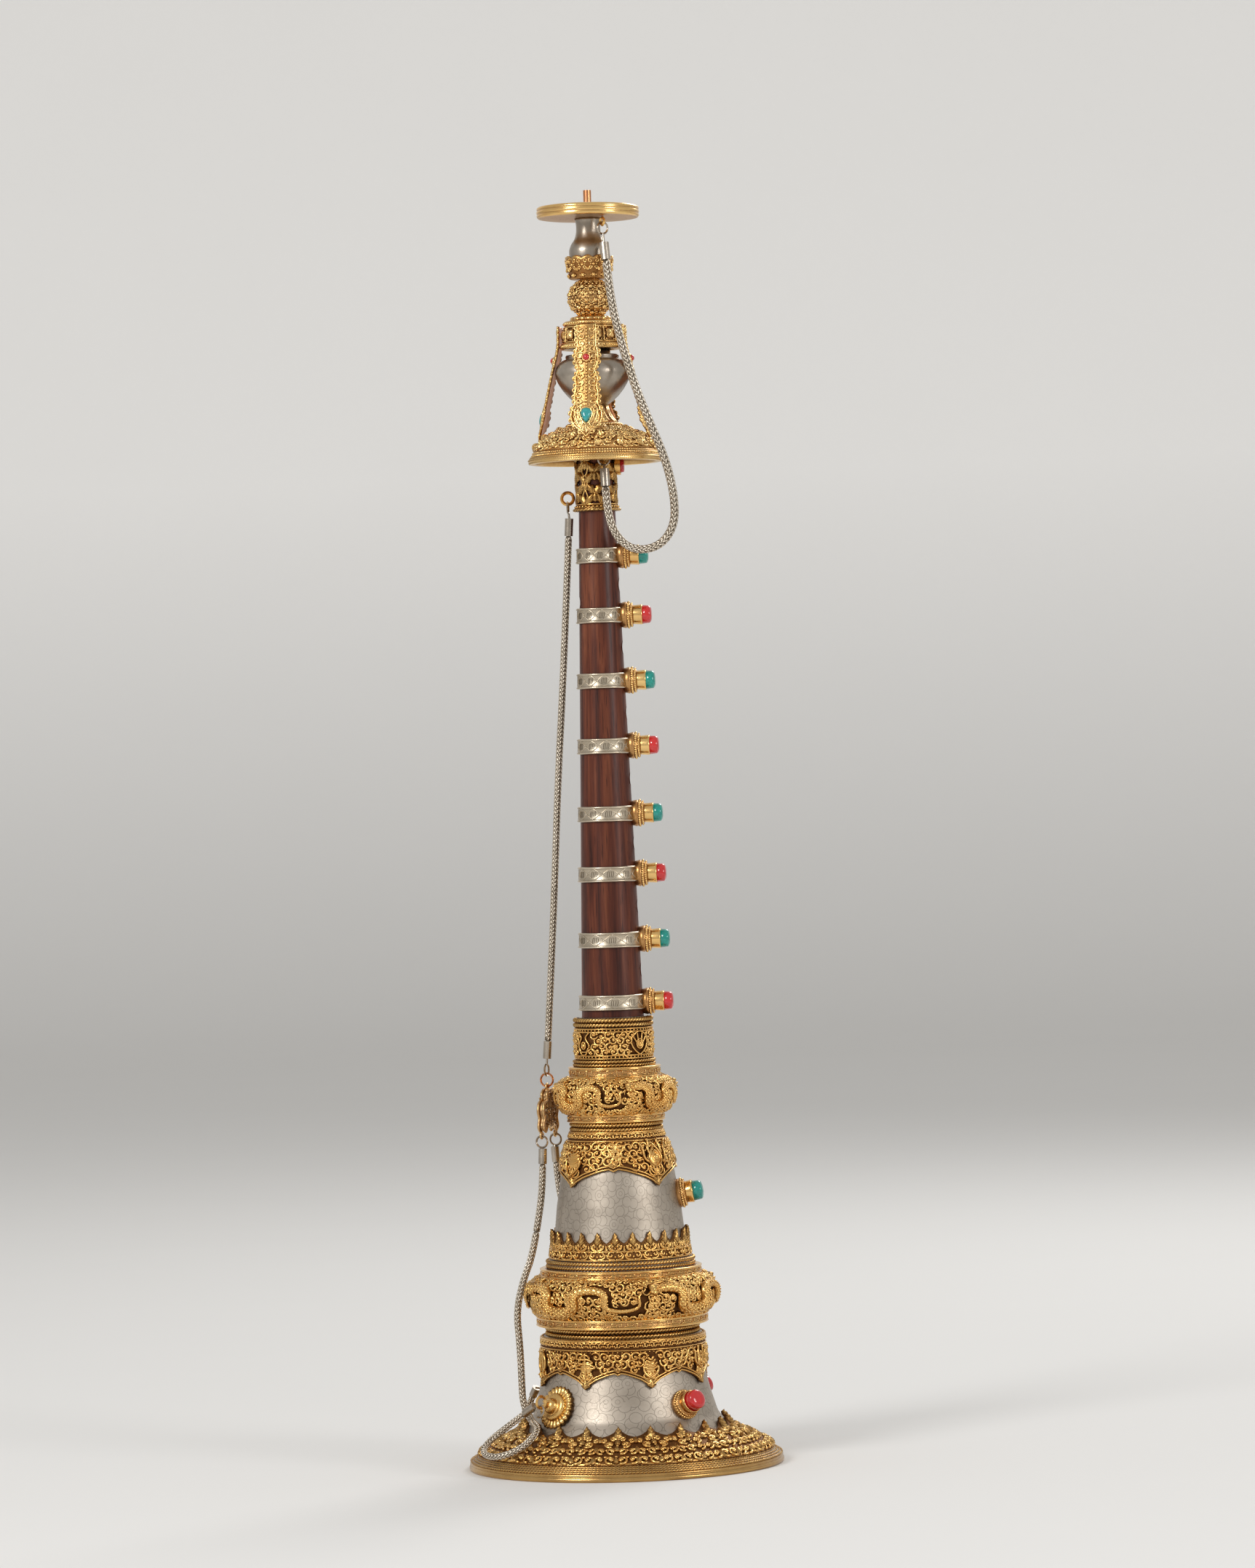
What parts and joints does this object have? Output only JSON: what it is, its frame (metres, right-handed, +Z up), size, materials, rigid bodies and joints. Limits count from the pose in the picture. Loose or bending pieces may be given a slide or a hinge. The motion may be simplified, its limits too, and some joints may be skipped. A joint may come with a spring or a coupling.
{
  "type": "gyaling shawm",
  "caption": "Ceremonial shawm with a flared filigree bell, a rosewood pipe with banded stone studs, an umbrella dome on a tiered staple, and carrying chains with a pendant.",
  "frame": {"origin": "middle of the bell rim on the ground that it stands on", "axes": "+Z up the bore to the reed tip, +X towards the finger holes and the stone studs, the picture is taken from -Y"},
  "size_m": [0.1468, 0.1468, 0.5942],
  "materials": {
    "gilt": "satin",
    "silver": "satin",
    "bands": "polished",
    "copper": "satin",
    "rosewood": "polished",
    "lapping": "matte",
    "coral": "polished",
    "teal": "polished",
    "turquoise": "polished"
  },
  "bodies": {
    "bell": {"bell_lower_shell": "silver", "bell_upper_shell": "silver", "bell_neck": "silver", "bell_rim": "gilt", "bell_wire_rings": "gilt", "key_flange_low": "gilt", "key_flange_mid": "gilt", "key_flange_top": "gilt", "key_band": "gilt", "dragon_ring_lower": "gilt", "dragon_ring_upper": "gilt", "socket_drum": "gilt", "socket_tube": "silver", "skirt_lower": "gilt", "skirt_upper": "gilt", "cresting_upper": "gilt", "cresting_base": "gilt", "bell_stud_mounts": "gilt", "bell_coral_stones": "coral", "bell_teal_stone": "teal", "chain_bosses": "gilt", "boss_eyes": "gilt", "chain_boss_ends": "silver", "chain_front_fall": "silver", "chain_rear_fall": "silver"},
    "chanter": {"chanter_pipe": "rosewood", "tenon_lapping": "lapping", "chanter_bands": "bands", "band_stud_mounts": "gilt", "band_teal_stones": "teal", "band_coral_stones": "coral", "ferrule_rings": "gilt", "ferrule_sleeve": "gilt", "ferrule_coral": "coral", "ferrule_mounts": "gilt", "chain_upper_ends": "silver", "chain_upper": "silver", "copper_ring": "copper", "safety_sleeve": "silver", "chain_front_drop": "silver", "chain_rear_drop": "silver"},
    "staple": {"staple_tube": "copper", "lip_disc": "gilt", "disc_eye": "gilt", "silver_vase": "silver", "filigree_cup": "gilt", "filigree_ball": "gilt", "crown_cap": "gilt", "crown_drum": "gilt", "silver_bulb": "silver", "dome_foot": "gilt", "dome": "gilt", "dome_rim": "gilt", "crown_straps": "gilt", "strap_corals": "coral", "strap_turquoises": "turquoise", "safety_cap": "silver", "chain_safety": "silver"},
    "pendant": {"pendant": "silver", "chain_low_tops": "silver"}
  },
  "joints": [
    {"name": "chanter_slide", "type": "slide", "parent": "bell", "child": "chanter", "axis": [0, 0, 1], "range_m": [0, 0.038], "deforming": ["chain_front_fall", "chain_rear_fall"]},
    {"name": "staple_slide", "type": "slide", "parent": "chanter", "child": "staple", "axis": [0, 0, 1], "range_m": [0, 0.042], "deforming": ["chain_safety"]},
    {"name": "pendant_swing", "type": "hinge", "parent": "chanter", "child": "pendant", "pos_m": [-0.03245, 0.00764, 0.1766], "axis": [-0.9613, 0.2756, 0], "range_deg": [-15, 15], "deforming": ["chain_front_drop", "chain_rear_drop"]}
  ]
}
